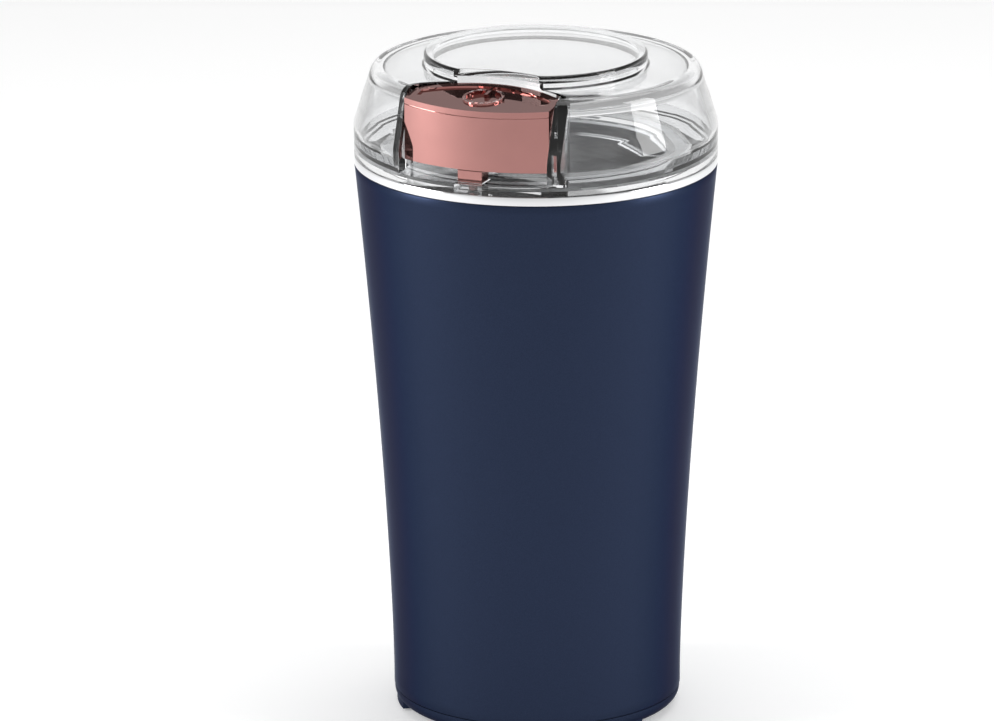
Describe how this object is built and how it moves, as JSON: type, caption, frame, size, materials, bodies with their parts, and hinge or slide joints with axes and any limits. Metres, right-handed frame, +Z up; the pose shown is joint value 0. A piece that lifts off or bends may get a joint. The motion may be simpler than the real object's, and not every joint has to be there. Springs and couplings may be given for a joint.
{
  "type": "electric spice grinder",
  "caption": "Tapered electric grinder with a steel bowl and blades under a clear push-fit lid; a push button in the lid works the safety switch that runs the motor.",
  "frame": {"origin": "centre of the foot of the grinder, on the table under its rubber pads", "axes": "+Z up along the motor shaft; the push button faces -Y; +X to the right of someone who faces the button"},
  "size_m": [0.0952, 0.0952, 0.1779],
  "materials": {
    "navy_paint": "satin metallic navy lacquer",
    "navy_plastic": "fine-grained moulded plastic",
    "rose_finish": "metallic rose-gold plating, glossy",
    "bright_chrome": "polished",
    "clear_plastic": "clear, glossy moulding",
    "bowl_steel": "spun and polished",
    "blade_steel": "ground",
    "shaft_steel": "turned",
    "bracket_steel": "galvanised",
    "screw_steel": "zinc plated",
    "spring_steel": "drawn wire and strip",
    "core_steel": "stacked sheets with a thin varnish",
    "black_plastic": "fine-grained moulded plastic",
    "carbon": "pressed carbon",
    "fan_plastic": "moulded plastic",
    "black_rubber": "matte",
    "pale_silicone": "translucent, matte",
    "bearing_bronze": "sintered, oiled",
    "copper_wire": "enamelled copper",
    "brass_parts": "stamped brass",
    "wire_cover": "smooth insulation"
  },
  "bodies": {
    "housing": {"body_shell": "navy_paint", "base_cover": "navy_plastic", "foot_pads": "black_rubber", "case_screws": "screw_steel", "cord_grommet": "black_rubber", "rim_ring": "bright_chrome", "grinding_bowl": "bowl_steel", "bowl_seat": "pale_silicone", "shaft_seal": "black_rubber", "bowl_carrier": "black_plastic", "motor_dampers": "black_rubber", "motor_screws": "screw_steel", "upper_bracket": "bracket_steel", "upper_bearing": "bearing_bronze", "lower_bracket": "black_plastic", "lower_bearing": "bearing_bronze", "stator_core": "core_steel", "field_coils": "copper_wire", "stator_screws": "screw_steel", "brush_holders": "brass_parts", "carbon_brushes": "carbon", "brush_springs": "spring_steel", "switch_body": "black_plastic", "switch_terminals": "brass_parts", "switch_screws": "screw_steel", "rod_spring": "spring_steel", "lead_wires": "wire_cover"},
    "rotor": {"motor_shaft": "shaft_steel", "armature_core": "core_steel", "armature_windings": "copper_wire", "commutator": "copper_wire", "cooling_fan": "fan_plastic", "blade_spacer": "blade_steel", "lower_blade": "blade_steel", "upper_blade": "blade_steel", "blade_nut": "blade_steel"},
    "lid": {"lid_shell": "clear_plastic", "lid_seal": "pale_silicone", "button_spring": "spring_steel"},
    "button": {"button_shell": "rose_finish", "button_cover": "rose_finish", "button_carrier": "rose_finish"},
    "plunger": {"push_rod": "black_plastic"},
    "switch_arm": {"switch_lever": "spring_steel"}
  },
  "joints": [
    {"name": "shaft_spin", "type": "hinge", "parent": "housing", "child": "rotor", "pos_m": [0, 0, 0.1], "axis": [0, 0, 1], "continuous": true},
    {"name": "lid_lift", "type": "slide", "parent": "housing", "child": "lid", "axis": [0, 0, 1], "range_m": [0, 0.06]},
    {"name": "button_press", "type": "slide", "parent": "lid", "child": "button", "axis": [0, 0, -1], "range_m": [0, 0.003], "stiffness_N_per_m": 600, "springref_m": -0.002, "deforming": ["button_spring"]},
    {"name": "rod_slide", "type": "slide", "parent": "housing", "child": "plunger", "axis": [0, 0, -1], "range_m": [0, 0.003], "stiffness_N_per_m": 150, "springref_m": -0.002, "deforming": ["rod_spring"]},
    {"name": "lever_turn", "type": "hinge", "parent": "housing", "child": "switch_arm", "pos_m": [-0.0085, -0.0338, 0.084], "axis": [0, 1, 0], "range_deg": [0, 11.6], "stiffness_Nm_per_rad": 0.01, "springref_deg": -11.46}
  ],
  "couplings": [
    {"joint": "rod_slide", "follows": "button_press", "ratio": 1},
    {"joint": "lever_turn", "follows": "button_press", "rad_per_m": 67.119}
  ]
}
